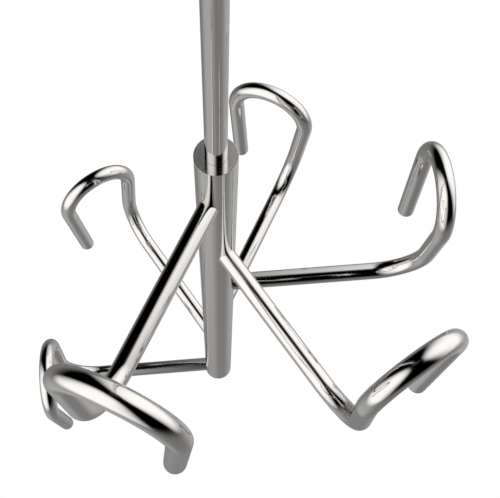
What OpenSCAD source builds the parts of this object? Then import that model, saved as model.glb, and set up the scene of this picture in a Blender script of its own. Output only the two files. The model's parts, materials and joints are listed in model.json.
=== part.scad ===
// Standing coat rack: a slim round pole on a weighted disc, carrying a thicker
// revolving head tube with bent-bar hooks that rise round it in a spiral.
// Millimetres, +Z up. The origin is on the floor, under the pole's axis.

/* [Overall] */
// Height of the stand from the floor to the top of the head tube
total_h = 1750; // [1500:10:1900]
// Outer diameter of the pole
pole_d = 16; // [14:0.5:18]

/* [Head] */
// Outer diameter of the head tube
head_d = 32; // [30:0.5:36]
// Wall thickness of the head tube
head_wall = 2; // [1.5:0.1:2.5]
// Length of the head tube
head_len = 554; // [552:1:600]
// Height of the lowest arm above the lower end of the head tube
first_arm_h = 56.5; // [52:0.5:58]
// Rise from one arm to the next
arm_step = 96; // [94:0.2:96.4]
// Turn from one arm to the next, clockwise seen from above
arm_turn = 60; // [45:5:90]

/* [Hooks] */
// Diameter of the hooks' round bar
bar_d = 16; // [12:0.5:16]
// Distance from the pole's axis to the middle of the hook's drop
hook_reach = 193.8; // [150:0.2:230]
// Centre-line radius of the bend at the end of the arm
elbow_r = 44; // [25:1:60]
// Centre-line radius of the trough of the hook
trough_r = 39; // [30:0.5:44]
// Depth of the trough's centre line below the arm's
trough_depth = 135.5; // [125:0.5:170]
// Outward lean of both legs of the hook, which narrows its mouth
leg_lean = 4.9; // [0:0.1:6]
// Drop of the tip below the arm's centre line
tip_drop = 0; // [0:0.5:20]
// Rounding of the tip's edge
tip_round = 2; // [1:0.5:6]

/* [Base] */
// Diameter of the base cover
base_d = 380; // [320:5:440]
// Height of the base cover's top at the pole
base_h = 23.2; // [22:0.1:26]
// Thickness of the base cover's sheet
cover_t = 1.2; // [0.8:0.1:1.5]
// Thickness of the rubber pads under the base
pad_t = 3; // [2:0.5:3.5]
// Number of rubber pads
pad_count = 6; // [3:1:8]

/* [Fits] */
// Radial gap of a bush that turns on the pole
run_gap = 0.05; // [0.02:0.01:0.1]
// Radial gap of a piece that is pressed or brazed in place
seat_gap = 0.05; // [0.02:0.01:0.1]
// Gap between pieces that pass each other without guiding
free_gap = 0.3; // [0.2:0.05:0.5]
// Radial gap between the end ring and the pole, which only closes the tube
ring_gap = 0.1; // [0.08:0.01:0.3]

/* [Hidden] */
hook_count = 6;

$fn = 64;
cut = 1;
pole_r = pole_d / 2;
edge = 0.4;

// Base
base_r = base_d / 2;
rim_round = 5;
rim_h = 15.5;
skirt_h = 2.5;
rim_turn = 87;
weight_inset = 7;
weight_r = base_r - weight_inset;
weight_flat_r = 24;
weight_foot_edge = 2;
weight_rim_edge = 1;
weight_top = base_h - cover_t;
weight_rim_top = rim_h - cover_t - free_gap;
pad_r = 12;
pad_inset = 32;
pad_ring_r = base_r - pad_inset;
pocket_r = 14;
pocket_top = 13;
bolt_r = 5;
bolt_head_h = 6.4;
bolt_head_r = 9.8;
washer_t = 2;
washer_r = 10.5;
tapped_depth = 25;
bolt_reach = 20;
collar_r = 22;
collar_top_r = 11;
collar_foot_h = 3;
collar_h = 22;
cove_steps = 10;
grub_r = 2;
grub_h = 15;
grub_len = 4;
grub_clear = 0.1;
grub_key_r = 1.15;
grub_key_depth = 2;

// Pole
pole_foot_z = weight_top;
joint_below_middle = 25;
pole_joint_z = total_h / 2 - joint_below_middle;
stud_half = 22;

// Head
head_r = head_d / 2;
bore_r = head_r - head_wall;
head_z = total_h - head_len;
ring_h = 8;
bush_h = 30;
cap_t = 7;
tube_edge = 0.2;
root_reach = 1.4;
arm_root = bore_r - root_reach;
bar_r = bar_d / 2;

// Pivot, between the two highest arms
shoulder_above_arm = 29.5;
shoulder_z = head_z + first_arm_h + (hook_count - 2) * arm_step + shoulder_above_arm;
spigot_r = 6;
thrust_t = 2;
thrust_r = 11;
flange_h = 2.95;
flange_r = 11.5;
block_h = 20;
block_bore_r = 9;
block_z = shoulder_z + thrust_t + run_gap + flange_h;
keeper_gap = 0.4;
spigot_top = block_z + block_h + keeper_gap;
screw_r = 3;
screw_reach = 14;
screw_hole_depth = 17;
screw_head_r = 5.5;
screw_head_h = 4;
screw_key_r = 2.9;
screw_key_depth = 2.5;
keeper_r = 12;

// Hook, in its own frame: the arm runs along +X, the legs drop towards -Z
// and the tip lies on the -Y side
trough_centre = trough_depth - trough_r;
mouth_half = (trough_r - trough_centre * sin(leg_lean)) / cos(leg_lean);
leg_run = trough_centre * cos(leg_lean) - mouth_half * sin(leg_lean);
trough_sweep = 180 + 2 * leg_lean;

// Points of an arc in a profile, from angle a to angle b
function arc(centre, r, a, b, steps = 8) =
    [for (i = [0:steps]) centre + r * [cos(a + (b - a) * i / steps), sin(a + (b - a) * i / steps)]];

// Round bar or disc with small chamfers on its edges, standing on z = 0
module edged_cylinder(r, h, bottom = edge, top = edge) {
    rotate_extrude() polygon([
        [0, 0], [r - bottom, 0], [r, bottom], [r, h - top], [r - top, h], [0, h]
    ]);
}

// Flat ring standing on z = 0
module ring(outer, inner, h) {
    difference() {
        cylinder(r = outer, h = h);
        translate([0, 0, -cut]) cylinder(r = inner, h = h + 2 * cut);
    }
}

// Bent piece of the hooks' bar in the XY plane, starting on the +X side
module bar_arc(r, angle) {
    rotate_extrude(angle = angle) translate([r, 0]) circle(r = bar_r);
}

// ---------- base ----------

module floor_pads() {
    color("dimgray")
    for (i = [0:pad_count - 1])
        rotate([0, 0, 360 * i / pad_count])
        translate([pad_ring_r, 0, 0])
        cylinder(r = pad_r, h = pad_t);
}

module base_weight() {
    color("darkslategray")
    difference() {
        rotate_extrude() polygon([
            [0, pad_t], [weight_r - weight_foot_edge, pad_t], [weight_r, pad_t + weight_foot_edge],
            [weight_r, weight_rim_top - weight_rim_edge], [weight_r - weight_rim_edge, weight_rim_top],
            [weight_flat_r, weight_top], [0, weight_top]
        ]);
        translate([0, 0, pad_t - cut]) cylinder(r = pocket_r, h = pocket_top - pad_t + cut);
        cylinder(r = bolt_r + free_gap, h = weight_top + cut);
    }
}

module base_cover() {
    outer = concat(
        [[base_r, skirt_h]],
        arc([base_r - rim_round, rim_h - rim_round], rim_round, 0, rim_turn),
        [[weight_flat_r, base_h], [pole_r + free_gap, base_h]]
    );
    inner = concat(
        [[pole_r + free_gap, weight_top], [weight_flat_r, weight_top]],
        arc([base_r - rim_round, rim_h - rim_round], rim_round - cover_t, rim_turn, 0),
        [[base_r - cover_t, skirt_h]]
    );
    color("dimgray")
    rotate_extrude($fn = 128) polygon(concat(outer, inner));
}

module base_washer() {
    color("gray")
    translate([0, 0, pocket_top - washer_t]) ring(washer_r, bolt_r + free_gap, washer_t);
}

module base_bolt() {
    seat = pocket_top - washer_t;
    color("gray") {
        translate([0, 0, seat - bolt_head_h]) cylinder(r = bolt_head_r, h = bolt_head_h, $fn = 6);
        translate([0, 0, seat]) cylinder(r = bolt_r, h = pole_foot_z + bolt_reach - seat);
    }
}

module base_collar() {
    waist = collar_h - collar_foot_h;
    color("silver")
    difference() {
        translate([0, 0, base_h])
        rotate_extrude() polygon(concat(
            [[pole_r + seat_gap, 0], [collar_r - edge, 0], [collar_r, edge], [collar_r, collar_foot_h]],
            [for (i = [1:cove_steps]) let (a = 90 * i / cove_steps) [
                collar_top_r + (collar_r - collar_top_r) * (1 - sin(a)),
                collar_foot_h + waist * (1 - cos(a))
            ]],
            [[pole_r + seat_gap, collar_h]]
        ));
        translate([0, 0, base_h + grub_h]) rotate([0, 90, 0]) cylinder(r = grub_r, h = collar_r);
    }
}

module collar_screw() {
    color("gray")
    translate([pole_r + grub_clear, 0, base_h + grub_h])
    rotate([0, 90, 0])
    difference() {
        cylinder(r = grub_r - seat_gap, h = grub_len);
        translate([0, 0, grub_len - grub_key_depth])
            cylinder(r = grub_key_r, h = grub_key_depth + cut, $fn = 6);
    }
}

// ---------- pole ----------

module lower_pole() {
    length = pole_joint_z - pole_foot_z;
    color("silver")
    translate([0, 0, pole_foot_z])
    difference() {
        edged_cylinder(pole_r, length);
        for (z = [-cut, length - tapped_depth])
            translate([0, 0, z]) cylinder(r = bolt_r + seat_gap, h = tapped_depth + cut);
    }
}

module pole_stud() {
    color("gray")
    translate([0, 0, pole_joint_z - stud_half]) cylinder(r = bolt_r, h = 2 * stud_half);
}

module upper_pole() {
    color("silver")
    difference() {
        union() {
            translate([0, 0, pole_joint_z]) edged_cylinder(pole_r, shoulder_z - pole_joint_z);
            translate([0, 0, shoulder_z]) edged_cylinder(spigot_r, spigot_top - shoulder_z, 0);
        }
        translate([0, 0, pole_joint_z - cut]) cylinder(r = bolt_r + seat_gap, h = tapped_depth + cut);
        translate([0, 0, spigot_top - screw_hole_depth])
            cylinder(r = screw_r + seat_gap, h = screw_hole_depth + cut);
    }
}

module thrust_washer() {
    color("peru")
    translate([0, 0, shoulder_z]) ring(thrust_r, spigot_r + seat_gap, thrust_t);
}

module retaining_washer() {
    color("gray")
    translate([0, 0, spigot_top]) ring(keeper_r, screw_r + free_gap, washer_t);
}

module retaining_screw() {
    color("gray")
    translate([0, 0, spigot_top + washer_t])
    difference() {
        union() {
            edged_cylinder(screw_head_r, screw_head_h, 0);
            translate([0, 0, -washer_t - screw_reach]) cylinder(r = screw_r, h = washer_t + screw_reach);
        }
        translate([0, 0, screw_head_h - screw_key_depth])
            cylinder(r = screw_key_r, h = screw_key_depth + cut, $fn = 6);
    }
}

// ---------- revolving head ----------

function arm_z(i) = head_z + first_arm_h + (i - 1) * arm_step;
function arm_angle(i) = -(i - 1) * arm_turn;

module head_tube() {
    color("silver")
    difference() {
        translate([0, 0, head_z]) edged_cylinder(head_r, head_len, tube_edge, tube_edge);
        translate([0, 0, head_z - cut]) cylinder(r = bore_r, h = head_len + 2 * cut);
        for (i = [1:hook_count])
            translate([0, 0, arm_z(i)])
            rotate([0, 90, arm_angle(i)])
            cylinder(r = bar_r + seat_gap, h = head_r + cut);
    }
}

module end_ring() {
    color("silver")
    translate([0, 0, head_z]) ring(bore_r - seat_gap, pole_r + ring_gap, ring_h);
}

module lower_bush() {
    color("ivory")
    translate([0, 0, head_z + ring_h]) ring(bore_r - seat_gap, pole_r + run_gap, bush_h);
}

module pivot_block() {
    color("gray")
    translate([0, 0, block_z]) ring(bore_r - seat_gap, block_bore_r, block_h);
}

module pivot_bush() {
    color("peru")
    difference() {
        union() {
            translate([0, 0, block_z - flange_h]) cylinder(r = flange_r, h = flange_h);
            translate([0, 0, block_z]) cylinder(r = block_bore_r - seat_gap, h = block_h);
        }
        translate([0, 0, block_z - flange_h - cut])
            cylinder(r = spigot_r + run_gap, h = block_h + flange_h + 2 * cut);
    }
}

module top_cap() {
    color("silver")
    translate([0, 0, total_h - cap_t]) cylinder(r = bore_r - seat_gap, h = cap_t);
}

// One bent bar, with its arm along +X and its arm's axis at z = 0. The legs'
// plane is turned about the arm, so that both legs lean away from the tip.
module hook_bar() {
    rotate([leg_lean, 0, 0]) {
        // arm
        translate([arm_root, 0, 0])
        rotate([0, 90, 0])
        cylinder(r = bar_r, h = hook_reach - elbow_r - arm_root);
        // elbow
        translate([hook_reach - elbow_r, 0, -elbow_r]) rotate([90, 0, 0]) bar_arc(elbow_r, 90);
        // first leg
        translate([hook_reach, 0, -leg_run]) cylinder(r = bar_r, h = leg_run - elbow_r);
        translate([hook_reach, -trough_r, -leg_run]) {
            // trough
            rotate([90, 0, 90]) rotate([0, 0, -trough_sweep]) bar_arc(trough_r, trough_sweep);
            // second leg, up to the tip
            rotate([-trough_sweep, 0, 0])
            translate([0, trough_r, 0])
            rotate([180, 0, 0])
            rounded_end(bar_r, leg_run - tip_drop / cos(leg_lean), tip_round);
        }
    }
}

// Round bar standing on z = 0 whose top edge is rounded
module rounded_end(r, h, round_r) {
    rotate_extrude() {
        square([r - round_r, h]);
        square([r, h - round_r]);
        translate([r - round_r, h - round_r]) circle(r = round_r);
    }
}

module hook(i) {
    color("silver")
    translate([0, 0, arm_z(i)])
    rotate([0, 0, arm_angle(i)])
    hook_bar();
}

floor_pads();
base_weight();
base_cover();
base_washer();
base_bolt();
base_collar();
collar_screw();
lower_pole();
pole_stud();
upper_pole();
thrust_washer();
retaining_washer();
retaining_screw();
head_tube();
end_ring();
lower_bush();
pivot_block();
pivot_bush();
top_cap();
for (i = [1:hook_count])
    hook(i);
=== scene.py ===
"""Standing coat rack: its looks, light and camera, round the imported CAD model.

Everything is in metres, in the CAD model's frame: the origin is on the floor under the
pole, +Z is up and +X points along the lowest hook.
"""
import json
import math

import bmesh
import bpy
from mathutils import Matrix, Vector


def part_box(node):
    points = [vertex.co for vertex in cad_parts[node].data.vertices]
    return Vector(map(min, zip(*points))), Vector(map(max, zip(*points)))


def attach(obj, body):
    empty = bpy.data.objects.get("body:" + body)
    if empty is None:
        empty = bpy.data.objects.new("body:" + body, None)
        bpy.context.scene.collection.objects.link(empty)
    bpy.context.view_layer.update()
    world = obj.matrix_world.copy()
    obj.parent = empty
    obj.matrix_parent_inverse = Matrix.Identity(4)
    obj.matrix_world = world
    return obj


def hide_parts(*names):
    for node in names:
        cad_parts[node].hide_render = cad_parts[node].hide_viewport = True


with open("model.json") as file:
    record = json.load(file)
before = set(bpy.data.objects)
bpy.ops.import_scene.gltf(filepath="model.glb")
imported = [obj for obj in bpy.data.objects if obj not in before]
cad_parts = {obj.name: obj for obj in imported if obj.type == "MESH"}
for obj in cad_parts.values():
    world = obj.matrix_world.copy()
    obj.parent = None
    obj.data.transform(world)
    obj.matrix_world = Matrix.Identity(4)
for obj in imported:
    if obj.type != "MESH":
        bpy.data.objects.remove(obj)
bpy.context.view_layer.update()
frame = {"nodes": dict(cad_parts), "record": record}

# ---------------------------------------------------------------- sizes
# Sizes that the CAD boxes don't give. Each is the same as in the CAD part.
MM = 0.001
HOOK_COUNT = 6
HOOK_TURN = math.radians(-60)
HOOK_REACH = 193.8 * MM
ELBOW_R = 44 * MM
TROUGH_R = 39 * MM
TROUGH_DEPTH = 135.5 * MM
LEG_LEAN = math.radians(4.9)
TIP_DROP = 0 * MM
TIP_ROUND = 2 * MM
BAR_R = 8 * MM
RING_GAP = 0.1 * MM
SEAT_GAP = 0.05 * MM
FREE_GAP = 0.3 * MM
SPIGOT_R = 6 * MM
SCREW_R = 3 * MM
SCREW_HOLE_DEPTH = 17 * MM
BOLT_R = 5 * MM
TAPPED_DEPTH = 25 * MM
COVER_T = 1.2 * MM
CROWN_R = 24 * MM
RIM_ROUND = 5 * MM
RIM_H = 15.5 * MM
POCKET_R = 14 * MM
PAD_R = 12 * MM
PAD_COUNT = 6
COLLAR_FOOT_H = 3 * MM
COLLAR_LIP_R = 11 * MM
GRUB_HOLE_R = 2 * MM

# Details of the visual pieces: rounds on their edges, the crowns' bends and the pads' hollows.
TUBE_EDGE = 0.12 * MM
SEAM_EDGE = 0.02 * MM
BORE_EDGE = 0.1 * MM
HOLE_EDGE = 0.3 * MM
PLAIN_EDGE = 0.4 * MM
CAST_EDGE = 1 * MM
WEIGHT_RIM_EDGE = 1.2 * MM
WEIGHT_FOOT_EDGE = 2 * MM
COVER_CROWN_ROUND = 150 * MM
WEIGHT_CROWN_ROUND = 100 * MM
PAD_TOP_EDGE = 0.2 * MM
PAD_FOOT_EDGE = 0.8 * MM
PAD_HOLLOW_H = 0.8 * MM
PAD_HOLLOW_R = 4 * MM
PAD_HOLLOW_MOUTH_R = 5 * MM

HEAD_LOW, HEAD_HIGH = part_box("head_tube")
HEAD_R = HEAD_HIGH.x
HEAD_Z = HEAD_LOW.z
TOP_Z = HEAD_HIGH.z
POLE_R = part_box("upper_pole")[1].x
ARM_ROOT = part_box("hook_1")[0].x
ARM_Z = [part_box(f"hook_{i + 1}")[1].z - BAR_R for i in range(HOOK_COUNT)]

# Facets round a bar, round the turned and pressed pieces, and along the bends.
SIDES = 96
TURNED_SIDES = 128
COVER_SIDES = 160
PAD_SIDES = 64
DRILL_SIDES = 48
ELBOW_STEPS = 40
TROUGH_STEPS = 80
COVE_STEPS = 24

# Distance from an edge's round to the ring of points that keeps the shading beside it flat.
FINE = 0.15 * MM
# A profile's point that is nearer to the axis than this lies on it.
ON_AXIS = 1e-7


# ---------------------------------------------------------------- mesh helpers
def make_piece(name, verts, faces, body, slot, *nodes):
    """A smooth mesh that stands for CAD nodes and rides on their body."""
    mesh = bpy.data.meshes.new(name)
    mesh.from_pydata([tuple(v) for v in verts], [], faces)
    mesh.validate()
    for polygon in mesh.polygons:
        polygon.use_smooth = True
    mesh.materials.append(MATERIALS[slot])
    piece = bpy.data.objects.new(name, mesh)
    bpy.context.scene.collection.objects.link(piece)
    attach(piece, body)
    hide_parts(*nodes)
    return piece


def drill(piece, screw_box, radius):
    """Cuts a round hole along +X, from the axis outwards, for the screw whose box is given."""
    low, high = screw_box
    axis_z = (low.z + high.z) / 2
    # well past the outside of what is drilled
    reach = 3 * high.x
    mesh = bpy.data.meshes.new("drill")
    bit = bmesh.new()
    bmesh.ops.create_cone(
        bit,
        cap_ends=True,
        segments=DRILL_SIDES,
        radius1=radius,
        radius2=radius,
        depth=reach,
        matrix=Matrix.Translation((reach / 2, 0, axis_z)) @ Matrix.Rotation(math.pi / 2, 4, "Y"),
    )
    bit.to_mesh(mesh)
    bit.free()
    cutter = bpy.data.objects.new("drill", mesh)
    bpy.context.scene.collection.objects.link(cutter)
    cut = piece.modifiers.new("hole", "BOOLEAN")
    cut.operation = "DIFFERENCE"
    cut.solver = "EXACT"
    cut.object = cutter
    graph = bpy.context.evaluated_depsgraph_get()
    result = bpy.data.meshes.new_from_object(piece.evaluated_get(graph))
    piece.modifiers.clear()
    piece.data = result
    bpy.data.objects.remove(cutter)
    # the hole's rim is a sharp edge, so that the curve round it keeps its own shading
    bored = bmesh.new()
    bored.from_mesh(result)

    def on_wall(vert):
        return vert.co.x > 0 and abs(math.hypot(vert.co.y, vert.co.z - axis_z) - radius) < FINE

    for rim_edge in bored.edges:
        walls = [all(on_wall(v) for v in face.verts) for face in rim_edge.link_faces]
        rim_edge.smooth = len(set(walls)) == 1
    bored.to_mesh(result)
    bored.free()


def ring_faces(a, b, sides):
    """Quads between two rings of vertices that start at index a and b."""
    return [(a + k, a + (k + 1) % sides, b + (k + 1) % sides, b + k) for k in range(sides)]


class Sweep:
    """A round bar drawn as a turtle walks: straight runs and exact circular bends."""

    def __init__(self, start, heading, normal, radius):
        self.at = Vector(start)
        self.heading = Vector(heading).normalized()
        self.normal = Vector(normal).normalized()
        self.radius = radius
        self.rings = []

    def ring(self, radius=None):
        """Adds a ring of points round the bar here, of its own radius or the one given."""
        r = self.radius if radius is None else radius
        side = self.heading.cross(self.normal)
        points = []
        for k in range(SIDES):
            a = 2 * math.pi * k / SIDES
            points.append(self.at + r * (math.cos(a) * self.normal + math.sin(a) * side))
        self.rings.append(points)

    def straight(self, length, margin=1.5 * MM):
        """Walks on, with rings close to both ends so that shading stays straight."""
        for step in (margin, length - 2 * margin, margin):
            self.at = self.at + self.heading * step
            self.ring()

    def bend(self, axis, radius, angle, steps):
        """Turns about an axis direction at the given centre-line radius."""
        axis = Vector(axis).normalized()
        centre = self.at + axis.cross(self.heading) * radius
        turn = Matrix.Rotation(angle / steps, 3, axis)
        for _ in range(steps):
            self.at = centre + turn @ (self.at - centre)
            self.heading = turn @ self.heading
            self.normal = turn @ self.normal
            self.ring()

    def flat_end(self, round_r, steps=6):
        """Rounds the edge over the last round_r of the bar and closes it flat."""
        base = self.at.copy()
        for i in range(1, steps + 1):
            a = math.pi / 2 * i / steps
            self.at = base + self.heading * round_r * math.sin(a)
            self.ring(self.radius - round_r * (1 - math.cos(a)))
        self.ring(self.radius - round_r - FINE)

    def mesh(self):
        """The skin over all the rings, closed at both ends."""
        verts = [p for points in self.rings for p in points]
        faces = []
        for i in range(len(self.rings) - 1):
            faces += ring_faces(i * SIDES, (i + 1) * SIDES, SIDES)
        last = (len(self.rings) - 1) * SIDES
        faces.append(tuple(range(SIDES))[::-1])
        faces.append(tuple(range(last, last + SIDES)))
        return verts, faces


def soften(corners, closed, steps=4):
    """Rounds the corners (r, z, radius) of a profile and adds a support point on each side."""
    points = []
    count = len(corners)
    for i, (r, z, radius) in enumerate(corners):
        here = Vector((r, z))
        if radius == 0 or (not closed and i in (0, count - 1)):
            points.append(here)
            continue
        before = (Vector(corners[i - 1][:2]) - here).normalized()
        after = (Vector(corners[(i + 1) % count][:2]) - here).normalized()
        half = before.angle(after) / 2
        reach = radius / math.tan(half)
        centre = here + (before + after).normalized() * radius / math.sin(half)
        start = here + before * reach
        end = here + after * reach
        points.append(start + before * FINE)
        for k in range(steps + 1):
            spoke = (start - centre).normalized().slerp((end - centre).normalized(), k / steps)
            points.append(centre + spoke * radius)
        points.append(end + after * FINE)
    return points


def lathe(profile, closed, sides=SIDES):
    """Turns a profile of (r, z) points about the Z axis: out along the bottom, up, and back in.

    The profile's ends may lie on the axis.
    """
    verts, starts = [], []
    for p in profile:
        starts.append(len(verts))
        if p[0] < ON_AXIS:
            verts.append(Vector((0, 0, p[1])))
            continue
        for k in range(sides):
            a = 2 * math.pi * k / sides
            verts.append(Vector((p[0] * math.cos(a), p[0] * math.sin(a), p[1])))
    faces = []
    pairs = list(zip(range(len(profile) - 1), range(1, len(profile))))
    if closed:
        pairs.append((len(profile) - 1, 0))
    for i, j in pairs:
        a, b = starts[i], starts[j]
        if profile[i][0] < ON_AXIS:
            faces += [(a, b + (k + 1) % sides, b + k) for k in range(sides)]
        elif profile[j][0] < ON_AXIS:
            faces += [(a + k, a + (k + 1) % sides, b) for k in range(sides)]
        else:
            faces += ring_faces(a, b, sides)
    return verts, faces


# ---------------------------------------------------------------- node graphs
class Graph:
    """Short calls that add nodes to a tree and hand back their output sockets."""

    def __init__(self, tree):
        self.tree = tree

    def node(self, kind, **settings):
        made = self.tree.nodes.new(kind)
        for key, value in settings.items():
            setattr(made, key, value)
        return made

    def feed(self, socket, value):
        if isinstance(value, bpy.types.NodeSocket):
            self.tree.links.new(value, socket)
        elif value is not None:
            socket.default_value = value

    def math(self, operation, a, b=None, c=None):
        made = self.node("ShaderNodeMath", operation=operation)
        for socket, value in zip(made.inputs, (a, b, c)):
            self.feed(socket, value)
        return made.outputs[0]

    def dot(self, a, b):
        made = self.node("ShaderNodeVectorMath", operation="DOT_PRODUCT")
        self.feed(made.inputs[0], a)
        self.feed(made.inputs[1], b)
        return made.outputs["Value"]

    def scaled(self, vector, factors):
        made = self.node("ShaderNodeVectorMath", operation="MULTIPLY")
        self.feed(made.inputs[0], vector)
        self.feed(made.inputs[1], factors)
        return made.outputs["Vector"]

    def ramp(self, value, start, end, low=0.0, high=1.0):
        """value from start to end becomes low to high, eased at both ends and flat outside."""
        made = self.node("ShaderNodeMapRange", interpolation_type="SMOOTHSTEP")
        for key, number in (("From Min", start), ("From Max", end), ("To Min", low), ("To Max", high)):
            made.inputs[key].default_value = number
        self.feed(made.inputs["Value"], value)
        return made.outputs["Result"]

    def mix(self, factor, a, b):
        """Mixes two colours, through the colour sockets of the Mix node."""
        made = self.node("ShaderNodeMix", data_type="RGBA")
        self.feed(made.inputs["Factor"], factor)
        self.feed(made.inputs[6], a)
        self.feed(made.inputs[7], b)
        return made.outputs[2]

    def noise(self, vector, scale, detail, roughness, distortion=0.0):
        made = self.node("ShaderNodeTexNoise")
        self.feed(made.inputs["Vector"], vector)
        made.inputs["Scale"].default_value = scale
        made.inputs["Detail"].default_value = detail
        made.inputs["Roughness"].default_value = roughness
        made.inputs["Distortion"].default_value = distortion
        return made.outputs["Fac"]

    def bands(self, vector, scale, direction, distortion):
        made = self.node("ShaderNodeTexWave", bands_direction=direction)
        self.feed(made.inputs["Vector"], vector)
        made.inputs["Scale"].default_value = scale
        made.inputs["Distortion"].default_value = distortion
        return made.outputs["Fac"]

    def height_of(self, vector):
        made = self.node("ShaderNodeSeparateXYZ")
        self.feed(made.inputs[0], vector)
        return made.outputs["Z"]

    def bump(self, height, strength, distance):
        made = self.node("ShaderNodeBump")
        made.inputs["Strength"].default_value = strength
        made.inputs["Distance"].default_value = distance
        self.feed(made.inputs["Height"], height)
        return made.outputs["Normal"]

    def place(self):
        return self.node("ShaderNodeTexCoord").outputs["Object"]


def principled(name, colour, metallic, roughness):
    """A material with one Principled shader, and the graph that its textures are added to."""
    material = bpy.data.materials.new(name)
    material.use_nodes = True
    graph = Graph(material.node_tree)
    shader = material.node_tree.nodes["Principled BSDF"]
    shader.inputs["Base Color"].default_value = (*colour, 1)
    shader.inputs["Metallic"].default_value = metallic
    shader.inputs["Roughness"].default_value = roughness
    return material, graph, shader


# ---------------------------------------------------------------- materials
def chrome_material():
    """Bright chrome plate: a trace of haze, fine polishing marks and a faint waviness."""
    material, graph, shader = principled("chrome", (0.777, 0.761, 0.738), 1.0, 0.1)
    place = graph.place()
    haze = graph.noise(place, 38, 4, 0.6)
    marks = graph.noise(graph.scaled(place, (1, 1, 0.3)), 420, 3, 0.6)
    smear = graph.ramp(graph.noise(place, 85, 4, 0.6, 0.5), 0.56, 0.76, 0, 0.012)
    rough = graph.math("ADD", graph.ramp(haze, 0.3, 0.7, 0.09, 0.104), smear)
    graph.feed(shader.inputs["Roughness"], graph.math("MULTIPLY_ADD", marks, 0.008, rough))
    colour = graph.mix(haze, (0.77, 0.753, 0.73, 1), (0.784, 0.768, 0.746, 1))
    graph.feed(shader.inputs["Base Color"], colour)
    graph.feed(shader.inputs["Normal"], graph.bump(graph.noise(place, 60, 1, 0.4), 0.02, 0.0003))
    return material


def coat_material():
    """Satin black powder coat: fine orange peel, with a little dust and rubbing."""
    material, graph, shader = principled("black_coat", (0.02, 0.02, 0.021), 0.0, 0.4)
    place = graph.place()
    cloud = graph.noise(place, 16, 5, 0.6)
    rubbed = graph.ramp(graph.noise(graph.scaled(place, (1, 1, 4)), 70, 6, 0.7, 1.2), 0.56, 0.74)
    dust = graph.ramp(graph.noise(place, 240, 5, 0.75), 0.6, 0.82, 0, 0.35)
    colour = graph.mix(cloud, (0.015, 0.015, 0.016, 1), (0.026, 0.026, 0.027, 1))
    graph.feed(shader.inputs["Base Color"], graph.mix(dust, colour, (0.075, 0.072, 0.068, 1)))
    rough = graph.math("MULTIPLY_ADD", rubbed, -0.08, graph.ramp(cloud, 0.3, 0.7, 0.38, 0.47))
    graph.feed(shader.inputs["Roughness"], rough)
    graph.feed(shader.inputs["Normal"], graph.bump(graph.noise(place, 1100, 2, 0.5), 0.5, 0.00004))
    return material


def iron_material():
    """Sand-cast iron under thin dark paint, with the sand's grain and specks of rust."""
    material, graph, shader = principled("cast_iron", (0.045, 0.045, 0.048), 0.3, 0.65)
    place = graph.place()
    grain = graph.noise(place, 650, 5, 0.7)
    blotch = graph.noise(place, 45, 5, 0.65)
    rust = graph.ramp(graph.noise(place, 150, 6, 0.75, 0.8), 0.62, 0.74, 0, 0.7)
    colour = graph.mix(blotch, (0.032, 0.033, 0.036, 1), (0.062, 0.062, 0.064, 1))
    graph.feed(shader.inputs["Base Color"], graph.mix(rust, colour, (0.16, 0.062, 0.026, 1)))
    graph.feed(shader.inputs["Roughness"], graph.ramp(grain, 0.3, 0.7, 0.55, 0.8))
    height = graph.math("MULTIPLY_ADD", blotch, 0.6, grain)
    graph.feed(shader.inputs["Normal"], graph.bump(height, 0.6, 0.00025))
    return material


def rubber_material():
    """Matt moulded rubber, greyed by floor dust near the ground."""
    material, graph, shader = principled("rubber", (0.02, 0.02, 0.02), 0.0, 0.8)
    place = graph.place()
    grain = graph.noise(place, 1600, 3, 0.6)
    near_floor = graph.ramp(graph.height_of(place), 0.0014, 0)
    dust = graph.math("MULTIPLY", near_floor, graph.noise(place, 300, 4, 0.7))
    colour = graph.mix(grain, (0.014, 0.014, 0.014, 1), (0.03, 0.03, 0.029, 1))
    graph.feed(shader.inputs["Base Color"], graph.mix(dust, colour, (0.11, 0.105, 0.095, 1)))
    graph.feed(shader.inputs["Roughness"], graph.ramp(grain, 0.3, 0.7, 0.7, 0.9))
    graph.feed(shader.inputs["Normal"], graph.bump(grain, 0.5, 0.00006))
    return material


def steel_material():
    """Zinc-plated steel: a dull spangle, light scratches and handling stains."""
    material, graph, shader = principled("steel", (0.6, 0.6, 0.6), 1.0, 0.35)
    place = graph.place()
    spangle = graph.noise(place, 420, 4, 0.6, 0.6)
    scratch = graph.noise(graph.scaled(place, (1, 0.08, 1)), 2600, 2, 0.5)
    stain = graph.noise(place, 130, 4, 0.6)
    colour = graph.mix(stain, (0.53, 0.545, 0.56, 1), (0.67, 0.665, 0.64, 1))
    graph.feed(shader.inputs["Base Color"], colour)
    rough = graph.math("MULTIPLY_ADD", scratch, 0.1, graph.ramp(spangle, 0.3, 0.7, 0.24, 0.36))
    graph.feed(shader.inputs["Roughness"], rough)
    graph.feed(shader.inputs["Normal"], graph.bump(scratch, 0.3, 0.00003))
    return material


def bronze_material():
    """Sintered bearing bronze: warm, dull and pitted with oil-filled pores."""
    material, graph, shader = principled("bronze", (0.54, 0.35, 0.18), 1.0, 0.45)
    place = graph.place()
    pores = graph.ramp(graph.noise(place, 3800, 3, 0.6), 0.56, 0.68)
    oil = graph.noise(place, 210, 4, 0.6)
    colour = graph.mix(oil, (0.47, 0.29, 0.135, 1), (0.62, 0.42, 0.225, 1))
    graph.feed(shader.inputs["Base Color"], graph.mix(pores, colour, (0.17, 0.1, 0.05, 1)))
    graph.feed(shader.inputs["Roughness"], graph.ramp(oil, 0.3, 0.7, 0.32, 0.52))
    graph.feed(shader.inputs["Normal"], graph.bump(pores, 0.5, -0.00004))
    return material


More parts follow.
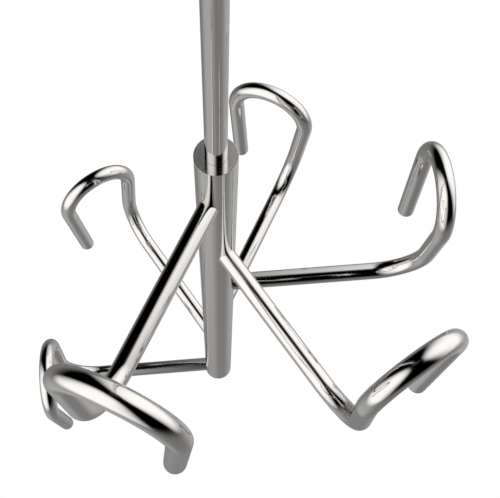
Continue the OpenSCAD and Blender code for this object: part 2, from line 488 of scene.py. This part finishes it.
def polymer_material():
    """Natural acetal, turned on a lathe: fine rings round the axis and a milky body."""
    material, graph, shader = principled("polymer", (0.82, 0.8, 0.74), 0.0, 0.45)
    place = graph.place()
    rings = graph.bands(place, 700, "Z", 0.4)
    milk = graph.noise(place, 120, 3, 0.5)
    colour = graph.mix(milk, (0.79, 0.77, 0.71, 1), (0.85, 0.83, 0.78, 1))
    graph.feed(shader.inputs["Base Color"], colour)
    graph.feed(shader.inputs["Roughness"], graph.ramp(rings, 0, 1, 0.36, 0.5))
    graph.feed(shader.inputs["Normal"], graph.bump(rings, 0.3, 0.00003))
    return material


MATERIALS = {
    "chrome": chrome_material(),
    "black_coat": coat_material(),
    "cast_iron": iron_material(),
    "rubber": rubber_material(),
    "steel": steel_material(),
    "bronze": bronze_material(),
    "polymer": polymer_material(),
}
for row in frame["record"]["subparts"]:
    surface = frame["nodes"][row["node"]].data
    surface.materials.clear()
    surface.materials.append(MATERIALS[row["material_slot"]])


# ---------------------------------------------------------------- hooks
def make_hook(i):
    """One bent bar: arm, elbow, leg, trough and tip. Both legs lean away from the tip's side."""
    trough_centre = TROUGH_DEPTH - TROUGH_R
    mouth_half = (TROUGH_R - trough_centre * math.sin(LEG_LEAN)) / math.cos(LEG_LEAN)
    leg_run = trough_centre * math.cos(LEG_LEAN) - mouth_half * math.sin(LEG_LEAN)
    bar = Sweep((ARM_ROOT, 0, 0), (1, 0, 0), (0, 0, 1), BAR_R)
    bar.ring()
    bar.straight(HOOK_REACH - ELBOW_R - ARM_ROOT)
    bar.bend((0, 1, 0), ELBOW_R, math.pi / 2, ELBOW_STEPS)
    bar.straight(leg_run - ELBOW_R)
    bar.bend((-1, 0, 0), TROUGH_R, math.pi + 2 * LEG_LEAN, TROUGH_STEPS)
    bar.straight(leg_run - TIP_DROP / math.cos(LEG_LEAN) - TIP_ROUND)
    bar.flat_end(TIP_ROUND)
    verts, faces = bar.mesh()
    place = (
        Matrix.Translation((0, 0, ARM_Z[i]))
        @ Matrix.Rotation(HOOK_TURN * i, 4, "Z")
        @ Matrix.Rotation(LEG_LEAN, 4, "X")
    )
    verts = [place @ v for v in verts]
    make_piece(f"bent_hook_{i + 1}", verts, faces, "head", "chrome", f"hook_{i + 1}")


for hook_index in range(HOOK_COUNT):
    make_hook(hook_index)


# ---------------------------------------------------------------- head tube and its ends
def make_head_tube():
    """The tube's shell, and the flat ring and plug that close its two ends."""
    bore_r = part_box("end_ring")[1].x
    shell = soften(
        [
            (bore_r, HEAD_Z, SEAM_EDGE), (HEAD_R, HEAD_Z, TUBE_EDGE),
            (HEAD_R, TOP_Z, TUBE_EDGE), (bore_r, TOP_Z, SEAM_EDGE),
        ],
        closed=True,
    )
    make_piece("head_shell", *lathe(shell, True, TURNED_SIDES), "head", "chrome", "head_tube")

    low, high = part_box("end_ring")
    inner_r = POLE_R + RING_GAP
    ring = soften(
        [
            (inner_r, low.z, SEAM_EDGE), (high.x, low.z, SEAM_EDGE),
            (high.x, high.z, SEAM_EDGE), (inner_r, high.z, SEAM_EDGE),
        ],
        closed=True,
    )
    make_piece("end_ring_turned", *lathe(ring, True, TURNED_SIDES), "head", "chrome", "end_ring")

    low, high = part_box("top_cap")
    cap = soften(
        [(0, low.z, 0), (high.x, low.z, SEAM_EDGE), (high.x, high.z, SEAM_EDGE), (0, high.z, 0)],
        closed=False,
    )
    make_piece("top_cap_turned", *lathe(cap, False, TURNED_SIDES), "head", "chrome", "top_cap")


make_head_tube()


# ---------------------------------------------------------------- pole
def make_pole():
    """The pole's two halves with their screw holes. The upper one ends in the head's spigot."""
    foot_z, joint_z = (corner.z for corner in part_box("lower_pole"))
    top_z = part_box("upper_pole")[1].z
    shoulder_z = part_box("thrust_washer")[0].z
    stud_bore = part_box("pole_stud")[1].x + SEAT_GAP
    screw_bore = SCREW_R + SEAT_GAP
    lower = soften(
        [
            (0, foot_z + TAPPED_DEPTH, 0), (stud_bore, foot_z + TAPPED_DEPTH, BORE_EDGE),
            (stud_bore, foot_z, BORE_EDGE), (POLE_R, foot_z, PLAIN_EDGE),
            (POLE_R, joint_z, PLAIN_EDGE), (stud_bore, joint_z, BORE_EDGE),
            (stud_bore, joint_z - TAPPED_DEPTH, BORE_EDGE), (0, joint_z - TAPPED_DEPTH, 0),
        ],
        closed=False,
    )
    make_piece("lower_pole_bar", *lathe(lower, False), "stand", "chrome", "lower_pole")
    upper = soften(
        [
            (0, joint_z + TAPPED_DEPTH, 0), (stud_bore, joint_z + TAPPED_DEPTH, BORE_EDGE),
            (stud_bore, joint_z, BORE_EDGE), (POLE_R, joint_z, PLAIN_EDGE),
            (POLE_R, shoulder_z, PLAIN_EDGE), (SPIGOT_R, shoulder_z, BORE_EDGE),
            (SPIGOT_R, top_z, PLAIN_EDGE), (screw_bore, top_z, BORE_EDGE),
            (screw_bore, top_z - SCREW_HOLE_DEPTH, BORE_EDGE), (0, top_z - SCREW_HOLE_DEPTH, 0),
        ],
        closed=False,
    )
    make_piece("upper_pole_bar", *lathe(upper, False), "stand", "chrome", "upper_pole")


make_pole()


# ---------------------------------------------------------------- base
def make_cover():
    """The pressed cover: a low crown that runs into a rounded rim and a short skirt."""
    low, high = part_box("base_cover")
    hole_r = POLE_R + FREE_GAP
    rim_r, inner_rim_r = high.x, high.x - COVER_T
    fall = (high.z - RIM_H) / (rim_r - RIM_ROUND - CROWN_R)
    rim_z = high.z - fall * (rim_r - CROWN_R)
    inner_rim_z = high.z - COVER_T - fall * (inner_rim_r - CROWN_R)
    profile = soften(
        [
            (hole_r, high.z - COVER_T, HOLE_EDGE), (CROWN_R, high.z - COVER_T, COVER_CROWN_ROUND),
            (inner_rim_r, inner_rim_z, RIM_ROUND - COVER_T), (inner_rim_r, low.z, PLAIN_EDGE),
            (rim_r, low.z, PLAIN_EDGE), (rim_r, rim_z, RIM_ROUND),
            (CROWN_R, high.z, COVER_CROWN_ROUND), (hole_r, high.z, HOLE_EDGE),
        ],
        closed=True,
        steps=12,
    )
    mesh = lathe(profile, True, COVER_SIDES)
    make_piece("base_cover_pressed", *mesh, "stand", "black_coat", "base_cover")


def make_weight():
    """The cast disc under the cover, with a pocket for the bolt's head."""
    low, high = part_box("base_weight")
    bolt_hole_r = BOLT_R + FREE_GAP
    pocket_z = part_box("base_washer")[1].z
    rim_z = RIM_H - COVER_T - FREE_GAP
    profile = soften(
        [
            (bolt_hole_r, pocket_z, HOLE_EDGE), (POCKET_R, pocket_z, CAST_EDGE),
            (POCKET_R, low.z, CAST_EDGE), (high.x, low.z, WEIGHT_FOOT_EDGE),
            (high.x, rim_z, WEIGHT_RIM_EDGE), (CROWN_R, high.z, WEIGHT_CROWN_ROUND),
            (bolt_hole_r, high.z, HOLE_EDGE),
        ],
        closed=True,
        steps=6,
    )
    mesh = lathe(profile, True, TURNED_SIDES)
    make_piece("base_weight_cast", *mesh, "stand", "cast_iron", "base_weight")


def make_pads():
    """Moulded rubber feet, each with a rounded edge and a hollow centre."""
    low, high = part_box("floor_pads")
    ring_r = high.x - PAD_R
    profile = soften(
        [
            (0, low.z + PAD_HOLLOW_H, 0), (PAD_HOLLOW_R, low.z + PAD_HOLLOW_H, PLAIN_EDGE),
            (PAD_HOLLOW_MOUTH_R, low.z, PLAIN_EDGE), (PAD_R, low.z, PAD_FOOT_EDGE),
            (PAD_R, high.z, PAD_TOP_EDGE), (0, high.z, 0),
        ],
        closed=False,
    )
    verts, faces = [], []
    pad_verts, pad_faces = lathe(profile, False, PAD_SIDES)
    for i in range(PAD_COUNT):
        a = 2 * math.pi * i / PAD_COUNT
        shift = Vector((ring_r * math.cos(a), ring_r * math.sin(a), 0))
        faces += [tuple(k + len(verts) for k in face) for face in pad_faces]
        verts += [v + shift for v in pad_verts]
    make_piece("rubber_feet", verts, faces, "stand", "rubber", "floor_pads")


def make_collar():
    """The trim collar at the pole's foot, with a hollow curve up to its lip."""
    low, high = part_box("base_collar")
    bore_r, foot_r, lip_r = POLE_R + SEAT_GAP, high.x, COLLAR_LIP_R
    foot_z = low.z + COLLAR_FOOT_H
    cove_w, cove_h = foot_r - lip_r, high.z - foot_z
    foot = [(bore_r, low.z, BORE_EDGE), (foot_r, low.z, PLAIN_EDGE), (foot_r, foot_z, PLAIN_EDGE)]
    cove = []
    for k in range(1, COVE_STEPS):
        a = math.pi / 2 * k / COVE_STEPS
        cove.append((lip_r + cove_w * (1 - math.sin(a)), foot_z + cove_h * (1 - math.cos(a)), 0))
    lip = [(lip_r, high.z, HOLE_EDGE), (bore_r, high.z, HOLE_EDGE)]
    mesh = lathe(soften(foot + cove + lip, closed=True), True, TURNED_SIDES)
    collar = make_piece("base_collar_turned", *mesh, "stand", "chrome", "base_collar")
    drill(collar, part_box("collar_screw"), GRUB_HOLE_R)


make_cover()
make_weight()
make_pads()
make_collar()

# ---------------------------------------------------------------- studio
# The photograph's viewpoint: about 0.6 m from the head, close to the pole and below the tube.
CAMERA_AZIMUTH = math.radians(-26)
CAMERA_DISTANCE = 293.0 * MM
CAMERA_BELOW_HEAD = 519.7 * MM
CAMERA_PITCH = math.radians(67.38)
CAMERA_YAW = math.radians(0.48)
CAMERA_ROLL = math.radians(-0.16)
SENSOR_WIDTH = 36
FOCAL_LENGTH = 61.18
FRAME_SHIFT = (0.0602, 0.0157)
NEAREST_SEEN = 10 * MM


def make_camera():
    """Beside the pole and low under the head, looking steeply up, rolled half a turn."""
    data = bpy.data.cameras.new("camera")
    data.sensor_width = SENSOR_WIDTH
    data.lens = FOCAL_LENGTH
    data.shift_x, data.shift_y = FRAME_SHIFT
    data.clip_start = NEAREST_SEEN
    camera = bpy.data.objects.new("camera", data)
    bpy.context.scene.collection.objects.link(camera)
    away = Vector((math.cos(CAMERA_AZIMUTH), math.sin(CAMERA_AZIMUTH), 0))
    camera.location = away * CAMERA_DISTANCE + Vector((0, 0, HEAD_Z - CAMERA_BELOW_HEAD))
    level = Matrix.Rotation(CAMERA_YAW, 3, "Z") @ -away
    ahead = level * math.cos(CAMERA_PITCH) + Vector((0, 0, math.sin(CAMERA_PITCH)))
    right = ahead.cross(Vector((0, 0, -1))).normalized()
    up = right.cross(ahead)
    rolled_right = right * math.cos(CAMERA_ROLL) + up * math.sin(CAMERA_ROLL)
    rolled_up = up * math.cos(CAMERA_ROLL) - right * math.sin(CAMERA_ROLL)
    camera.rotation_mode = "QUATERNION"
    camera.rotation_quaternion = Matrix((rolled_right, rolled_up, -ahead)).transposed().to_quaternion()
    bpy.context.scene.camera = camera


make_camera()

# The studio is two tall softboxes that face each other across the rack, with dark gaps
# between them and plain grey walls above. Widths and heights are per metre of distance,
# and each edge is half the width of the fade there.
SOFTBOX_AZIMUTH = CAMERA_AZIMUTH + math.radians(55.5)
GLOW_AZIMUTH = CAMERA_AZIMUTH + math.radians(59)
NEAR_BOX = {
    "half_width": 1.13, "side_edge": 0.86,
    "top": 0.44, "top_edge": 0.28,
    "bottom": -2.8, "bottom_edge": 2.0,
}
FAR_BOX = {
    "half_width": 1.24, "side_edge": 1.0,
    "top": 0.375, "top_edge": 0.37,
    "bottom": -3.2, "bottom_edge": 2.4,
}
# A direction less far ahead than this counts as beside the box.
LEAST_AHEAD = 0.02
BOX_LEVEL = 0.985
BOX_TINT = (1.012, 0.995, 0.993, 1)

# Above the boxes the wall fades in, the ceiling is a little lighter, and a broad glow
# lies over the boxes' own direction. Each pair is where a fade starts and ends, in
# degrees of height or, for the glow's width, of bearing.
WALL_LEVEL = 0.162
WALL_FADE = (-6.5, 33)
CEILING_EXTRA = 0.026
CEILING_FADE = (32, 84)
GLOW_LEVEL = 0.183
GLOW_WIDTH = (73, 15)
GLOW_FADE_IN = (12, 42)
GLOW_FADE_OUT = (86, 62)

# The levels above are as the chrome shows them, so they are divided by what it reflects.
METAL_SHARE = 0.775
# The level that lights dull surfaces, the same from every side.
EVEN_LIGHT = 1.0
LIGHT_AIM = Vector((0, 0, 0.8))
FLOOR_R = 40.0


def make_world():
    """The studio as metal mirrors it, an even light for dull surfaces and a white backdrop."""
    world = bpy.data.worlds.new("studio")
    bpy.context.scene.world = world
    world.use_nodes = True
    graph = Graph(world.node_tree)
    toward = graph.node("ShaderNodeTexCoord").outputs["Generated"]
    height = graph.dot(toward, (0, 0, 1))
    rise = graph.math("DEGREES", graph.math("ARCSINE", height))

    def bearing(azimuth):
        along = graph.dot(toward, (math.cos(azimuth), math.sin(azimuth), 0))
        across = graph.dot(toward, (-math.sin(azimuth), math.cos(azimuth), 0))
        return along, graph.math("ABSOLUTE", across)

    def softbox(azimuth, shape):
        along, across = bearing(azimuth)
        ahead = graph.math("MAXIMUM", along, LEAST_AHEAD)
        side, up = graph.math("DIVIDE", across, ahead), graph.math("DIVIDE", height, ahead)
        half, edge = shape["half_width"], shape["side_edge"]
        lit = graph.ramp(side, half + edge, half - edge)
        top, edge = shape["top"], shape["top_edge"]
        lit = graph.math("MULTIPLY", lit, graph.ramp(up, top + edge, top - edge))
        low, edge = shape["bottom"], shape["bottom_edge"]
        return graph.math("MULTIPLY", lit, graph.ramp(up, low - edge, low + edge))

    wall = graph.ramp(rise, *WALL_FADE, 0, WALL_LEVEL)
    wall = graph.math("ADD", wall, graph.ramp(rise, *CEILING_FADE, 0, CEILING_EXTRA))
    along, across = bearing(GLOW_AZIMUTH)
    turn = graph.math("DEGREES", graph.math("ARCTAN2", across, graph.math("ABSOLUTE", along)))
    glow = graph.ramp(turn, *GLOW_WIDTH, 0, GLOW_LEVEL)
    glow = graph.math("MULTIPLY", glow, graph.ramp(rise, *GLOW_FADE_IN))
    glow = graph.math("MULTIPLY", glow, graph.ramp(rise, *GLOW_FADE_OUT))
    wall = graph.math("ADD", wall, glow)
    near_box = softbox(SOFTBOX_AZIMUTH, NEAR_BOX)
    far_box = softbox(SOFTBOX_AZIMUTH + math.pi, FAR_BOX)
    boxes = graph.math("MAXIMUM", near_box, far_box)
    level = graph.math("MULTIPLY_ADD", boxes, graph.math("SUBTRACT", BOX_LEVEL, wall), wall)
    level = graph.math("DIVIDE", level, METAL_SHARE)
    tint = graph.node("ShaderNodeVectorMath", operation="SCALE")
    graph.feed(tint.inputs[0], graph.mix(boxes, (1, 1, 1, 1), BOX_TINT))
    graph.feed(tint.inputs["Scale"], level)
    path = graph.node("ShaderNodeLightPath")
    even = (EVEN_LIGHT, EVEN_LIGHT, EVEN_LIGHT, 1)
    colour = graph.mix(path.outputs["Is Diffuse Ray"], tint.outputs[0], even)
    colour = graph.mix(path.outputs["Is Camera Ray"], colour, (1, 1, 1, 1))
    graph.feed(world.node_tree.nodes["Background"].inputs["Color"], colour)


make_world()


def make_light(name, place, size, power):
    """A big soft light that aims at the rack and isn't mirrored in the metal."""
    data = bpy.data.lights.new(name, "AREA")
    data.shape = "SQUARE"
    data.size = size
    data.energy = power
    light = bpy.data.objects.new(name, data)
    bpy.context.scene.collection.objects.link(light)
    light.location = place
    light.rotation_euler = (LIGHT_AIM - Vector(place)).to_track_quat("-Z", "Y").to_euler()
    light.visible_glossy = False


make_light("key", (2.2, -2.4, 3.8), 2.4, 40)
make_light("fill", (-3.0, 1.5, 4.0), 3.0, 15)


def make_floor():
    """A wide pale floor with a trace of cloudiness."""
    verts, faces = lathe([(0, 0), (FLOOR_R, 0)], False)
    mesh = bpy.data.meshes.new("floor")
    mesh.from_pydata([tuple(v) for v in verts], [], [face[::-1] for face in faces])
    floor = bpy.data.objects.new("floor", mesh)
    bpy.context.scene.collection.objects.link(floor)
    material, graph, shader = principled("floor", (0.86, 0.86, 0.85), 0.0, 0.7)
    cloud = graph.noise(graph.place(), 1.5, 4, 0.5)
    colour = graph.mix(cloud, (0.85, 0.85, 0.845, 1), (0.875, 0.875, 0.87, 1))
    graph.feed(shader.inputs["Base Color"], colour)
    graph.feed(shader.inputs["Roughness"], graph.ramp(cloud, 0.3, 0.7, 0.62, 0.75))
    mesh.materials.append(material)
    floor.visible_glossy = False


make_floor()
bpy.context.scene.view_settings.view_transform = "Standard"
